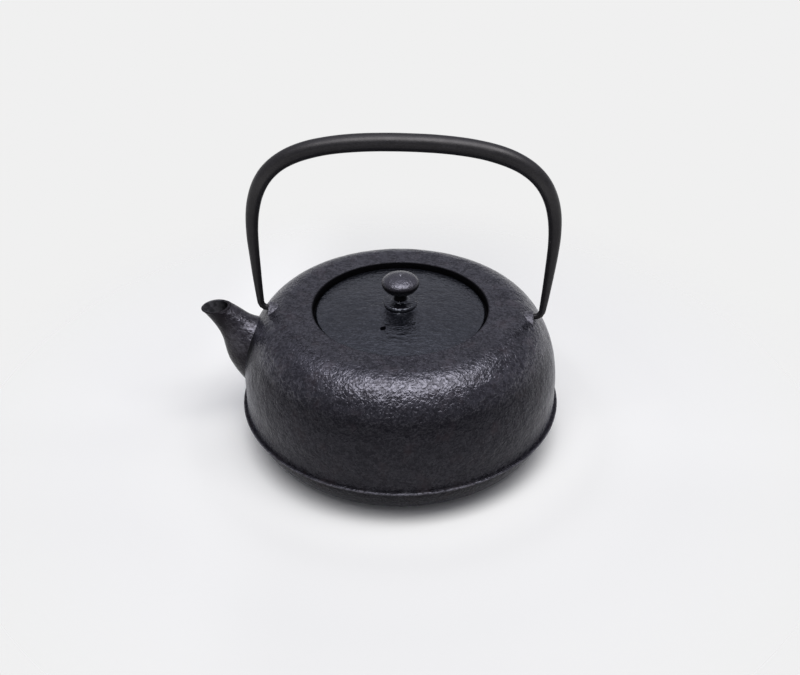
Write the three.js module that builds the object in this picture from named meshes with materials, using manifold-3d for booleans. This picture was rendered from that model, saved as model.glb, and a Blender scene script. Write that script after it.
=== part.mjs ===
// A low, round cast iron kettle: a body with a thin flange round it, a spout and two ears joined to
// it, a bail handle that swings in the ears, and a domed lid with a riveted knob.
// Millimetres, +Z up. The origin is the middle of the flat base. The spout points along -X, and the
// handle stands in the XZ plane.

import * as THREE from 'three';
import { mergeVertices } from 'three/addons/utils/BufferGeometryUtils.js';
import Module from 'manifold-3d';

const wasm = await Module();
wasm.setup();

// Gaps
const joinGap = 0.3; // between pieces that are fused, riveted or resting on each other
const pinGap = 0.25; // round each handle pin, in its ear
const lidGap = 1.3; // between the lid's edge and the wall of the opening
const skirtGap = 1.1; // between the lid's skirt and the ledge

// Body, outside
const baseRadius = 68;
const bowlRadius = 87;
const flangeRadius = 90;
const flangeThickness = 1.8;
const flangeRound = 0.5;
const flangeTopZ = 22;
const waistRadius = 87.3;
const bellyRadius = 88;
const bellyZ = 34.4;
const shoulderRise = 26.8; // pull of the shoulder's curve upwards at the belly
const shoulderRun = 15.3; // pull of the shoulder's curve outwards at the flat top
const flatTopRadius = 60;
const topZ = 79.5;
const openingRadius = 48.2;
const rimRound = 0.8;

// Body, inside
const wall = 3;
const baseThickness = 3.5;
const ledgeWidth = 4.2;
const ledgeThickness = 2.6;

// Lid
const lidRecess = 3; // from the flat top down to the lid's edge
const lidThickness = 2.4;
const lidRise = 3.9; // of the dome, from edge to middle
const lidRound = 1;
const skirtWall = 2.4;
const skirtDepth = 7;
const ventRadius = 1.5;
const ventX = -7.8;
const ventY = -23.1;

// Knob and what holds it
const collarRadius = 8.7;
const collarEdge = 1.4;
const collarDome = 2.2;
const neckRadius = 3.4;
const neckLength = 3.8;
const knobRadius = 10.3;
const knobUpper = 5; // from the knob's widest ring up to its crown
const knobLower = 5.8; // from the widest ring down to the neck
const tangRadius = 2.2;
const washerRadius = 5.2;
const washerThickness = 1.2;
const rivetRadius = 3.6;
const rivetCrownRadius = 2.2;
const rivetHeight = 1.6;
const rivetEdge = 0.55;

// Spout: its underside and its upper side are curves in the XZ plane
const mouthHalfLength = 8.4; // of the oval mouth, outer lip to inner lip
const mouthHalfWidth = 7.7;
const mouthReach = 15.1; // from the belly out to the middle of the mouth
const mouthDrop = 4.3; // from the flat top down to the middle of the mouth
const mouthTilt = 5; // degrees, outer lip down
const spoutWall = 1.8;
const spoutRootLowZ = 28.3;
const spoutRootHighZ = 67;
const spoutRootDepth = 5.1; // how far inside the shoulder the upper side starts
const spoutRootHalfWidth = 15.3;
const spoutTaper = 1.6; // how fast the width falls from root to mouth
const lowRootPull = 33.3; // each curve's pull at its root and at its lip, and the slope in degrees
const lowRootSlope = 47.4;
const lowLipPull = 32.4;
const lowLipSlope = 48.6;
const highRootPull = 11.5;
const highRootSlope = 12.2;
const highLipPull = 10.5;
const highLipSlope = 31.5;

// Ears
const earInset = 18.1; // from the belly in to the middle of an ear's root
const earRootRadius = 5.8;
const earReach = 3.5; // from the middle of the root out to the ear's outer face
const earLength = 5.6;
const earTopHalfWidth = 1.2;
const earCrown = 0.35;
const earFlank = 1.45; // sideways run of an ear's flanks for each millimetre down
const earCover = 0.8; // iron above the pin hole
const earDepth = 4.8; // from the pin down to the lug's foot, inside the wall
const pinDrop = 1.3; // from the shoulder at the ear's root down to the pin
const pinRadius = 1.75;
const pinDepth = 2.6; // of each pin in its ear

// Handle
const hookRun = 0.4; // of each pin, from its ear's outer face to where its bend starts
const hookBend = 3.7;
const legRadius = 2;
const legLean = 7.7; // degrees, outwards above the hook
const legLowPull = 4.4; // the pulls of the leg's curve at its hook and at its top
const legHighPull = 8;
const legHeight = 45.6; // from the pin up to where the arch starts
const gripRadius = 4.75;
const gripDrop = 6.2; // the bar has its full thickness from here below the crown
const archSpread = 2.5; // how much further out than its hook each leg stands
const archRise = 55;
const archFootPull = 40.4; // the pulls of the arch's curve at its foot and at its crown
const archCrownPull = 61.9;
const archLean = 1.56; // the hand bent arch stands this far off the middle, towards +X
const archLeanEarly = 0.5; // the share by which the lean runs ahead of the height

// Steps of the round shapes
const bodySteps = 56;
const bowlSteps = 6;
const waistSteps = 3;
const shoulderSteps = 9;
const insideSteps = 7;
const domeSteps = 5;
const smallSteps = 28;
const collarSteps = 3;
const headSteps = 12;
const spoutSteps = 11;
const spoutSides = 28;
const bendSteps = 5;
const legSteps = 5;
const archSteps = 13;
const handleSides = 12;
const holeSides = 16;
const searchSteps = 40;

// What follows from the sizes above
const flatTopInnerZ = topZ - wall;
const lidEdgeZ = topZ - lidRecess;
const lidUnderZ = lidEdgeZ - lidThickness;
const ledgeZ = lidUnderZ - joinGap;
const ledgeRadius = openingRadius - ledgeWidth;
const lidRadius = openingRadius - lidGap;
const lidTopZ = lidEdgeZ + lidRise;
const collarZ = lidTopZ + joinGap;
const collarTopZ = collarZ + collarEdge + collarDome;
const neckZ = collarTopZ + joinGap;
const knobZ = neckZ + neckLength + knobLower;
const tangHoleRadius = tangRadius + joinGap;
const washerTopZ = lidHeight(washerRadius) - lidThickness - joinGap;
const washerLowZ = washerTopZ - washerThickness;
const flangeLowZ = flangeTopZ - flangeThickness;
const earRadius = bellyRadius - earInset;
const earSeat = shoulderWhere((point) => point.x < earRadius);
const earFaceRadius = earRadius + earReach;
const pinZ = earSeat.z - pinDrop;
const pinHoleRadius = pinRadius + pinGap;
const earTopZ = pinZ + pinHoleRadius + earCover;
const hookRadius = earFaceRadius + hookRun + hookBend;
const archRadius = hookRadius + archSpread;
const archFootZ = pinZ + legHeight;
const archTopZ = archFootZ + archRise;
const softened = 1 - Math.SQRT1_2; // a rounding's distance from its corner, as a share of its size

// Finishes
const roughIron = new THREE.MeshStandardMaterial({ color: 0x2a292d, roughness: 0.5, metalness: 0.6 });
const spoutIron = new THREE.MeshStandardMaterial({ color: 0x252326, roughness: 0.5, metalness: 0.6 });
const earIron = new THREE.MeshStandardMaterial({ color: 0x3a393d, roughness: 0.6, metalness: 0.6 });
const barIron = new THREE.MeshStandardMaterial({ color: 0x1d1c1d, roughness: 0.45, metalness: 0.5 });
const lidIron = new THREE.MeshStandardMaterial({ color: 0x2e2f34, roughness: 0.35, metalness: 0.7 });
const knobIron = new THREE.MeshStandardMaterial({ color: 0x333136, roughness: 0.4, metalness: 0.7 });

const group = new THREE.Group();

// A geometry as a solid that can be joined and cut
function solidOf(geometry) {
  const bare = geometry.clone();
  bare.deleteAttribute('normal');
  bare.deleteAttribute('uv');
  const merged = mergeVertices(bare, 1e-4);
  const corners = merged.index.array;
  const triangles = [];
  for (let i = 0; i < corners.length; i += 3) {
    const [a, b, c] = corners.slice(i, i + 3);
    if (a !== b && b !== c && c !== a) triangles.push(a, b, c);
  }
  const vertProperties = new Float32Array(merged.attributes.position.array);
  const triVerts = new Uint32Array(triangles);
  return new wasm.Manifold(new wasm.Mesh({ numProp: 3, vertProperties, triVerts }));
}

// A solid as a named mesh in the group
function addPiece(name, solid, material) {
  const mesh = solid.getMesh();
  const geometry = new THREE.BufferGeometry();
  geometry.setAttribute('position', new THREE.BufferAttribute(mesh.vertProperties, 3));
  geometry.setIndex(new THREE.BufferAttribute(mesh.triVerts, 1));
  geometry.computeVertexNormals();
  const piece = new THREE.Mesh(geometry, material);
  piece.name = name;
  group.add(piece);
}

// A profile of [radius, height] points turned round the Z axis. The points run outwards along the
// bottom, up, and back inwards along the top, from axis to axis or round a closed ring.
function turned(profile, steps) {
  const points = profile.map(([radius, height]) => new THREE.Vector2(radius, height));
  return new THREE.LatheGeometry(points, steps).rotateX(Math.PI / 2);
}

// A disc or bar round the Z axis between two heights
function rod(radius, lowZ, highZ, sides) {
  const length = highZ - lowZ;
  const geometry = new THREE.CylinderGeometry(radius, radius, length, sides);
  return geometry.rotateX(Math.PI / 2).translate(0, 0, lowZ + length / 2);
}

// A closed skin through rings of points that all have the same number of points, with a fan over
// each end. Seen from the last ring, each ring runs anticlockwise.
function loft(rings) {
  const sides = rings[0].length;
  const last = rings.length - 1;
  const points = rings.flat();
  const triangles = [];
  for (let ring = 0; ring < last; ring += 1) {
    for (let side = 0; side < sides; side += 1) {
      const a = ring * sides + side;
      const b = ring * sides + ((side + 1) % sides);
      triangles.push(a, b, b + sides, a, b + sides, a + sides);
    }
  }
  for (const end of [0, last]) {
    const middle = new THREE.Vector3();
    for (const point of rings[end]) middle.addScaledVector(point, 1 / sides);
    const centre = points.push(middle) - 1;
    for (let side = 0; side < sides; side += 1) {
      const a = end * sides + side;
      const b = end * sides + ((side + 1) % sides);
      triangles.push(centre, end === 0 ? b : a, end === 0 ? a : b);
    }
  }
  const geometry = new THREE.BufferGeometry().setFromPoints(points);
  geometry.setIndex(triangles);
  return geometry;
}

// Points on a quarter ellipse that leaves its start level and reaches its end upright
function quarterEllipse(startRadius, startZ, endRadius, endZ, steps) {
  const points = [];
  for (let step = 0; step <= steps; step += 1) {
    const angle = (step / steps) * (Math.PI / 2);
    const radius = startRadius + (endRadius - startRadius) * Math.sin(angle);
    points.push([radius, endZ - (endZ - startZ) * Math.cos(angle)]);
  }
  return points;
}

// The upper wall's curves, from the flange to the belly and from the belly to the flat top
function waistCurve() {
  const foot = new THREE.Vector2(waistRadius, flangeTopZ);
  const middle = new THREE.Vector2(bellyRadius, (flangeTopZ + bellyZ) / 2);
  return new THREE.QuadraticBezierCurve(foot, middle, new THREE.Vector2(bellyRadius, bellyZ));
}

function shoulderCurve() {
  return new THREE.CubicBezierCurve(
    new THREE.Vector2(bellyRadius, bellyZ),
    new THREE.Vector2(bellyRadius, bellyZ + shoulderRise),
    new THREE.Vector2(flatTopRadius + shoulderRun, topZ),
    new THREE.Vector2(flatTopRadius, topZ),
  );
}

// Points along a wall curve, moved outwards by a distance square to it
function wallPoints(curve, steps, outwards) {
  const points = [];
  for (let step = 0; step <= steps; step += 1) {
    const point = curve.getPoint(step / steps);
    const along = curve.getTangent(step / steps);
    points.push([point.x + along.y * outwards, point.y - along.x * outwards]);
  }
  return points;
}

// The place on the shoulder, on the +X side, from which a test of its points holds, with its slope
function shoulderWhere(test) {
  const curve = shoulderCurve();
  let low = 0;
  let high = 1;
  for (let step = 0; step < searchSteps; step += 1) {
    const middle = (low + high) / 2;
    if (test(curve.getPoint(middle))) high = middle;
    else low = middle;
  }
  const point = curve.getPoint(high);
  const slope = curve.getTangent(high);
  return { x: point.x, z: point.y, lean: Math.atan2(slope.y, -slope.x) };
}

// The outside of the body as a full solid, moved outwards by a distance
function bodyEnvelope(outwards) {
  const profile = [
    [0, -outwards],
    ...quarterEllipse(baseRadius, -outwards, bowlRadius + outwards, flangeTopZ, bowlSteps),
    ...wallPoints(waistCurve(), waistSteps, outwards),
    ...wallPoints(shoulderCurve(), shoulderSteps, outwards).slice(1),
    [0, topZ + outwards],
  ];
  return solidOf(turned(profile, bodySteps));
}

// The body's shell, before its holes are cut
function bodyShell() {
  const outside = [
    [0, 0],
    ...quarterEllipse(baseRadius, 0, bowlRadius, flangeLowZ, bowlSteps),
    [flangeRadius - flangeRound, flangeLowZ],
    [flangeRadius, flangeLowZ + flangeRound],
    [flangeRadius, flangeTopZ - flangeRound],
    [flangeRadius - flangeRound, flangeTopZ],
    ...wallPoints(waistCurve(), waistSteps, 0),
    ...wallPoints(shoulderCurve(), shoulderSteps, 0).slice(1),
  ];
  const opening = [
    [openingRadius + rimRound, topZ],
    [openingRadius + rimRound * softened, topZ - rimRound * softened],
    [openingRadius, topZ - rimRound],
    [openingRadius, ledgeZ],
    [ledgeRadius, ledgeZ],
    [ledgeRadius, ledgeZ - ledgeThickness],
    [openingRadius + wall, ledgeZ - ledgeThickness],
    [openingRadius + 2 * wall, flatTopInnerZ],
  ];
  const bowl = quarterEllipse(
    baseRadius - wall,
    baseThickness,
    bowlRadius - wall,
    flangeLowZ,
    bowlSteps,
  );
  const inside = [
    ...wallPoints(shoulderCurve(), insideSteps, -wall).reverse(),
    [bellyRadius - wall, flangeTopZ],
    ...bowl.reverse(),
    [0, baseThickness],
  ];
  return solidOf(turned([...outside, ...opening, ...inside], bodySteps));
}

// A point at a distance from another one, in a direction in degrees above the +X axis
function pulled(point, distance, degrees) {
  const angle = THREE.MathUtils.degToRad(degrees);
  const away = new THREE.Vector2(Math.cos(angle), Math.sin(angle));
  return point.clone().addScaledVector(away, distance);
}

// The spout's two outlines in the XZ plane. Their ends at the root lie inside the body's outside.
function spoutOutlines() {
  const mouth = new THREE.Vector2(-bellyRadius - mouthReach, topZ - mouthDrop);
  const outerLip = pulled(mouth, -mouthHalfLength, mouthTilt);
  const innerLip = pulled(mouth, mouthHalfLength, mouthTilt);
  const shoulder = shoulderWhere((point) => point.y > spoutRootHighZ);
  const lowRoot = new THREE.Vector2(-waistRadius, spoutRootLowZ);
  const highRoot = new THREE.Vector2(-shoulder.x + spoutRootDepth, spoutRootHighZ);
  const low = new THREE.CubicBezierCurve(
    lowRoot,
    pulled(lowRoot, -lowRootPull, -lowRootSlope),
    pulled(outerLip, lowLipPull, -lowLipSlope),
    outerLip,
  );
  const high = new THREE.CubicBezierCurve(
    highRoot,
    pulled(highRoot, -highRootPull, highRootSlope),
    pulled(innerLip, highLipPull, -highLipSlope),
    innerLip,
  );
  return { low, high };
}

// One ring of the spout: an ellipse between the two outlines, drawn in by an inset
function spoutRing(lowPoint, highPoint, halfWidth, inset) {
  const middle = lowPoint.clone().add(highPoint).multiplyScalar(0.5);
  const half = highPoint.clone().sub(middle);
  half.setLength(half.length() - inset);
  const ring = [];
  for (let side = 0; side < spoutSides; side += 1) {
    const angle = (side / spoutSides) * 2 * Math.PI;
    const across = Math.cos(angle);
    const y = (halfWidth - inset) * Math.sin(angle);
    ring.push(new THREE.Vector3(middle.x + half.x * across, y, middle.y + half.y * across));
  }
  return ring;
}

// The spout's outside, or its bore when there is an inset. Both run on into the body by a distance,
// and the bore also runs out past the mouth.
function spoutSolid(inset, intoBody) {
  const { low, high } = spoutOutlines();
  const rings = [];
  for (let step = 0; step <= spoutSteps; step += 1) {
    const along = step / spoutSteps;
    const spread = (spoutRootHalfWidth - mouthHalfWidth) * (1 - along) ** spoutTaper;
    const halfWidth = mouthHalfWidth + spread;
    rings.push(spoutRing(low.getPoint(along), high.getPoint(along), halfWidth, inset));
  }
  const moved = (ring, offset) => ring.map((point) => point.clone().add(offset));
  rings.unshift(moved(rings[0], new THREE.Vector3(intoBody, 0, 0)));
  if (inset > 0) rings.push(moved(rings.at(-1), new THREE.Vector3(0, 0, inset)));
  return solidOf(loft(rings));
}

// A round plug along an ear's root, from inside the wall to well above the shoulder
function earPlug(radius) {
  const geometry = rod(radius, -wall, 2 * wall, smallSteps);
  return solidOf(geometry.rotateY(earSeat.lean).translate(earSeat.x, 0, earSeat.z));
}

// The space of an ear's pin hole, open to the outside
function pinHole() {
  const depth = earFaceRadius - pinDepth - joinGap;
  const geometry = rod(pinHoleRadius, depth, hookRadius, holeSides);
  return solidOf(geometry.rotateY(Math.PI / 2).translate(0, 0, pinZ));
}

// The lug of an ear as a bar with sloping flanks, long enough to reach down into the shoulder
function earLug() {
  const drop = earTopZ - pinZ + earDepth;
  const foot = earTopHalfWidth + drop * earFlank;
  const outline = new THREE.Shape();
  outline.moveTo(-foot, -drop);
  outline.lineTo(foot, -drop);
  outline.lineTo(earTopHalfWidth, 0);
  outline.quadraticCurveTo(0, earCrown, -earTopHalfWidth, 0);
  const geometry = new THREE.ExtrudeGeometry(outline, {
    depth: earLength,
    bevelEnabled: false,
    curveSegments: 4,
  });
  const acrossToY = new THREE.Matrix4().makeBasis(
    new THREE.Vector3(0, 1, 0),
    new THREE.Vector3(0, 0, 1),
    new THREE.Vector3(1, 0, 0),
  );
  geometry.applyMatrix4(acrossToY);
  return solidOf(geometry.translate(earFaceRadius - earLength, 0, earTopZ));
}

// An ear on the +X side: its lug stands on the shoulder, and its root goes through the wall
function earSolid() {
  const lug = earLug();
  const plug = earPlug(earRootRadius);
  const root = plug.intersect(bodyEnvelope(0));
  const above = lug.subtract(bodyEnvelope(joinGap));
  const between = lug.intersect(plug);
  return root.add(above).add(between).subtract(pinHole());
}

// The same solid half a turn round the kettle's axis
function halfTurn(solid) {
  return solid.rotate([0, 0, 180]);
}

// The handle's right leg and the right half of its arch, above the hook's bend
function handleCurves(hookTop) {
  const foot = new THREE.Vector2(archRadius, archFootZ);
  const crown = new THREE.Vector2(0, archTopZ);
  const leg = new THREE.CubicBezierCurve(
    hookTop,
    pulled(hookTop, legLowPull, 90 - legLean),
    pulled(foot, legHighPull, -90),
    foot,
  );
  const arch = new THREE.CubicBezierCurve(
    foot,
    pulled(foot, archFootPull, 90),
    pulled(crown, archCrownPull, 0),
    crown,
  );
  return { leg, arch };
}

// The middle line of the handle's right half, from the pin's end to the crown, with its radius
function handlePath() {
  const path = [{ x: earFaceRadius - pinDepth, z: pinZ, radius: pinRadius }];
  const turn = THREE.MathUtils.degToRad(90 - legLean);
  for (let step = 0; step <= bendSteps; step += 1) {
    const share = step / bendSteps;
    const radius = pinRadius + (legRadius - pinRadius) * share;
    const x = hookRadius - hookBend + hookBend * Math.sin(share * turn);
    path.push({ x, z: pinZ + hookBend - hookBend * Math.cos(share * turn), radius });
  }
  const hookTop = new THREE.Vector2(path.at(-1).x, path.at(-1).z);
  const growth = (gripRadius - legRadius) / (archTopZ - gripDrop - hookTop.y);
  const follow = (curve, steps) => {
    for (let step = 1; step <= steps; step += 1) {
      const { x, y: z } = curve.getPoint(step / steps);
      path.push({ x, z, radius: Math.min(gripRadius, legRadius + growth * (z - hookTop.y)) });
    }
  };
  const { leg, arch } = handleCurves(hookTop);
  follow(leg, legSteps);
  follow(arch, archSteps);
  return path;
}

// The handle: a round bar along its middle line, the left half a mirror of the right
function handleSolid() {
  const right = handlePath();
  const left = right.slice(0, -1).reverse().map((point) => ({ ...point, x: -point.x }));
  const path = [...right, ...left];
  for (const point of path) {
    const share = (point.z - pinZ) / (archTopZ - pinZ);
    point.x += archLean * share * (1 + archLeanEarly * (1 - share));
  }
  const aside = new THREE.Vector3(0, 1, 0);
  const rings = path.map(({ x, z, radius }, index) => {
    const before = path[Math.max(0, index - 1)];
    const after = path[Math.min(path.length - 1, index + 1)];
    const along = new THREE.Vector3(after.x - before.x, 0, after.z - before.z).normalize();
    const outwards = new THREE.Vector3().crossVectors(aside, along);
    const ring = [];
    for (let side = 0; side < handleSides; side += 1) {
      const angle = (side / handleSides) * 2 * Math.PI;
      const point = new THREE.Vector3(x, 0, z);
      point.addScaledVector(outwards, radius * Math.cos(angle));
      point.addScaledVector(aside, radius * Math.sin(angle));
      ring.push(point);
    }
    return ring;
  });
  return solidOf(loft(rings));
}

// The lid's height at a radius, on its upper side
function lidHeight(radius) {
  return lidEdgeZ + lidRise * (1 - (radius / lidRadius) ** 2);
}

// Points along the lid's dome from one radius to another, lowered by a distance
function domePoints(fromRadius, toRadius, lowered, steps) {
  const points = [];
  for (let step = 0; step <= steps; step += 1) {
    const radius = fromRadius + ((toRadius - fromRadius) * step) / steps;
    points.push([radius, lidHeight(radius) - lowered]);
  }
  return points;
}

// The lid plate: a domed disc with a skirt under it, a seat for the collar, and two holes, for the
// tang and as a vent
function lidSolid() {
  const skirtOuter = ledgeRadius - skirtGap;
  const skirtInner = skirtOuter - skirtWall;
  const seatFoot = collarRadius + joinGap;
  const profile = [
    ...domePoints(tangHoleRadius, skirtInner, lidThickness, domeSteps),
    [skirtInner, lidUnderZ - skirtDepth],
    [skirtOuter, lidUnderZ - skirtDepth],
    [skirtOuter, lidUnderZ],
    [lidRadius - lidRound / 2, lidUnderZ],
    [lidRadius, lidUnderZ + lidRound / 2],
    [lidRadius, lidEdgeZ - lidRound],
    [lidRadius - lidRound * softened, lidEdgeZ - lidRound * softened],
    ...domePoints(lidRadius - lidRound, seatFoot, 0, domeSteps),
    [collarRadius, lidTopZ],
    [tangHoleRadius, lidTopZ],
    [tangHoleRadius, lidHeight(tangHoleRadius) - lidThickness],
  ];
  const vent = rod(ventRadius, lidUnderZ - skirtDepth, collarTopZ, holeSides);
  return solidOf(turned(profile, bodySteps)).subtract(solidOf(vent.translate(ventX, ventY, 0)));
}

// The domed washer between the knob's neck and the lid
function collarSolid() {
  const flatRadius = neckRadius + joinGap;
  const dome = [];
  for (let step = 0; step <= collarSteps; step += 1) {
    const share = step / collarSteps;
    const radius = collarRadius + (flatRadius - collarRadius) * share;
    dome.push([radius, collarZ + collarEdge + collarDome * Math.sin(share * (Math.PI / 2))]);
  }
  const profile = [
    [tangHoleRadius, collarZ],
    [collarRadius, collarZ],
    ...dome,
    [tangHoleRadius, collarTopZ],
    [tangHoleRadius, collarZ],
  ];
  return solidOf(turned(profile, smallSteps));
}

// The knob with its neck, its tang through the lid, and the rivet head under the washer
function knobSolid() {
  const rivetTopZ = washerLowZ - joinGap;
  const rivetLowZ = rivetTopZ - rivetHeight;
  const head = [];
  const startAngle = Math.asin(neckRadius / knobRadius);
  for (let step = 0; step < headSteps; step += 1) {
    const angle = startAngle + ((Math.PI - startAngle) * step) / headSteps;
    const height = Math.cos(angle) > 0 ? knobLower : knobUpper;
    head.push([knobRadius * Math.sin(angle), knobZ - height * Math.cos(angle)]);
  }
  const profile = [
    [0, rivetLowZ],
    [rivetCrownRadius, rivetLowZ],
    [rivetRadius, rivetTopZ - rivetEdge],
    [rivetRadius, rivetTopZ],
    [tangRadius, rivetTopZ],
    [tangRadius, neckZ],
    [neckRadius, neckZ],
    ...head,
    [0, knobZ + knobUpper],
  ];
  return solidOf(turned(profile, smallSteps));
}

// The washer under the lid, over which the tang is riveted
function washerSolid() {
  const profile = [
    [tangHoleRadius, washerLowZ],
    [washerRadius, washerLowZ],
    [washerRadius, washerTopZ],
    [tangHoleRadius, washerTopZ],
    [tangHoleRadius, washerLowZ],
  ];
  return solidOf(turned(profile, smallSteps));
}

// The body: its shell with the hole into the spout and the holes that the ears' roots fill
function bodySolid() {
  const rootHole = earPlug(earRootRadius + joinGap);
  return bodyShell()
    .subtract(spoutSolid(spoutWall, 3 * wall))
    .subtract(rootHole)
    .subtract(halfTurn(rootHole));
}

// The spout: its root follows the body's wall
function spoutPiece() {
  const bored = spoutSolid(0, 2 * wall).subtract(spoutSolid(spoutWall, 3 * wall));
  return bored.subtract(bodyEnvelope(joinGap));
}

addPiece('kettle_body', bodySolid(), roughIron);
addPiece('spout', spoutPiece(), spoutIron);
addPiece('ear_far_side', earSolid(), earIron);
addPiece('ear_spout_side', halfTurn(earSolid()), earIron);
addPiece('bail_handle', handleSolid(), barIron);
addPiece('lid_plate', lidSolid(), lidIron);
addPiece('knob_collar', collarSolid(), lidIron);
addPiece('lid_knob', knobSolid(), knobIron);
addPiece('knob_washer', washerSolid(), roughIron);

export default group;
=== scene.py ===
"""A low, round cast iron kettle: a rough cast body with a thin flange, a spout and two ears joined
to it, a bail handle that swings in the ears, and a glossy domed lid with a riveted knob.

Each operator models one piece in its place on the part's fixed frame, in metres, with +Z up and the
spout along -X. The stage operator adds the floor, the light and the camera.
"""

import math

import bpy
from bpy.props import FloatProperty, FloatVectorProperty, IntProperty, PointerProperty
from bpy.types import Operator, Panel, PropertyGroup
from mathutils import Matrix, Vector, kdtree


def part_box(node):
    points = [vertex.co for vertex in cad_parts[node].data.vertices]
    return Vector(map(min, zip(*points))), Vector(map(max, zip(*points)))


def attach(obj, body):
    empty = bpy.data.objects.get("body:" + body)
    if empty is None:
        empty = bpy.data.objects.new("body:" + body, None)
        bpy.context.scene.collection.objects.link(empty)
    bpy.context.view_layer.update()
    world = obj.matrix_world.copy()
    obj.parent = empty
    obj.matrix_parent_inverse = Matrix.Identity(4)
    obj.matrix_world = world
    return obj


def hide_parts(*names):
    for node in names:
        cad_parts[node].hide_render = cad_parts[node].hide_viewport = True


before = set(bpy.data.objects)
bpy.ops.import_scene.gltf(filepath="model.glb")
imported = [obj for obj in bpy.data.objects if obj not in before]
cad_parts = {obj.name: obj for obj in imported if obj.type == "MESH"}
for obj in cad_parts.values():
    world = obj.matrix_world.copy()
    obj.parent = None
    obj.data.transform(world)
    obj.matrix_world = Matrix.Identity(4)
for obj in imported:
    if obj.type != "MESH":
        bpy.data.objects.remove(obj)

bl_info = {
    "name": "Cast Iron Kettle",
    "version": (1, 0, 0),
    "blender": (4, 5, 0),
    "location": "View3D > Sidebar > Kettle",
    "description": "Models a low, round cast iron kettle piece by piece",
    "category": "Add Mesh",
}

MM = 0.001
BODY_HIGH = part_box("kettle_body")[1]
KNOB_LOW, KNOB_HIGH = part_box("lid_knob")

# What pulls a curve at its ends: a distance, and a direction in degrees above +X
LOW_ROOT_PULL, LOW_LIP_PULL = (-30.3 * MM, -50.8), (30.9 * MM, -49.6)
HIGH_ROOT_PULL, HIGH_LIP_PULL = (-11.2 * MM, 0), (9.7 * MM, -22.5)
LEG_LOW_PULL, LEG_HIGH_PULL = 4.4 * MM, 8 * MM
SPOUT_TAPER = 1.6  # how fast the spout's width falls from root to mouth

# Indices of refraction: low ones make a dull black, high ones a gloss like old lacquer
DULL_IOR = 1.2
BAR_IOR = 1.53
THIN_IOR, THICK_IOR = 1.66, 1.95
POLISHED_IOR = 2


def length(name, description, millimetres):
    """A size, written in millimetres and kept in metres."""
    return FloatProperty(
        name=name, description=description, default=millimetres * MM, unit="LENGTH"
    )


def angle(name, description, degrees):
    """An angle, written in degrees and kept in radians."""
    return FloatProperty(
        name=name, description=description, default=math.radians(degrees), unit="ROTATION"
    )


def colour(name, description, red, green, blue):
    """A colour in linear light."""
    return FloatVectorProperty(
        name=name, description=description, default=(red, green, blue), subtype="COLOR"
    )


# Sizes and colours that a user would change


class KettleBody(PropertyGroup):
    """Sizes of the body casting."""

    base_radius: length("Base radius", "Radius of the flat base", 68)
    bowl_radius: length("Bowl radius", "Radius of the bowl under the flange", 87)
    flange_radius: length("Flange radius", "Outer radius of the flange", BODY_HIGH.y / MM)
    flange_low: length("Flange underside", "Height of the flange's underside", 20.2)
    flange_top: length("Flange top", "Height of the flange's upper side", 21.6)
    waist_radius: length("Waist radius", "Radius of the wall just above the flange", 88.2)
    belly_radius: length("Belly radius", "Widest radius of the wall", 88)
    belly_height: length("Belly height", "Height of the wall's widest ring", 34.4)
    shoulder_rise: length("Shoulder rise", "Upward pull of the shoulder's curve", 26.8)
    shoulder_run: length("Shoulder run", "Outward pull of the shoulder's curve", 15.3)
    flat_radius: length("Flat top radius", "Radius at which the top becomes flat", 60)
    height: length("Height", "Height of the flat top", BODY_HIGH.z / MM)
    opening_radius: length("Opening radius", "Radius of the opening for the lid", 48.2)
    ledge_radius: length("Ledge radius", "Inner radius of the ledge under the lid", 44)
    ledge_height: length("Ledge height", "Height of the ledge's upper side", 73.8)
    ledge_thickness: length("Ledge thickness", "Thickness of the ledge", 2.6)
    wall: length("Wall", "Thickness of the wall", 3)
    base_thickness: length("Base thickness", "Thickness of the base", 3.5)
    swell_depth: length("Swell depth", "Depth of the casting's broad unevenness", 0.3)
    lump_depth: length("Lump depth", "Depth of the casting's small lumps", 0.16)
    steps: IntProperty(name="Steps", description="Steps round the body", default=440)


class KettleSpout(PropertyGroup):
    """Sizes of the spout casting."""

    mouth_half_length: length("Mouth half length", "Half the mouth, lip to lip", 8.4)
    mouth_half_width: length("Mouth half width", "Half the mouth, side to side", 7.7)
    mouth_reach: length("Mouth reach", "From the belly out to the mouth's middle", 15.1)
    mouth_drop: length("Mouth drop", "From the flat top down to the mouth's middle", 4.3)
    mouth_tilt: angle("Mouth tilt", "Outer lip down", 5)
    wall: length("Wall", "Thickness of the spout's wall", 1.8)
    root_low: length("Root low", "Height of the root's lowest point", 27.3)
    root_high: length("Root high", "Height of the root's highest point", 67)
    root_depth: length("Root depth", "How far the root's top lies inside the wall", 5.1)
    root_half_width: length("Root half width", "Half the root's width", 15.3)
    sides: IntProperty(name="Sides", description="Sides of the spout", default=72)
    steps: IntProperty(name="Steps", description="Rings along the spout", default=44)


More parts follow.
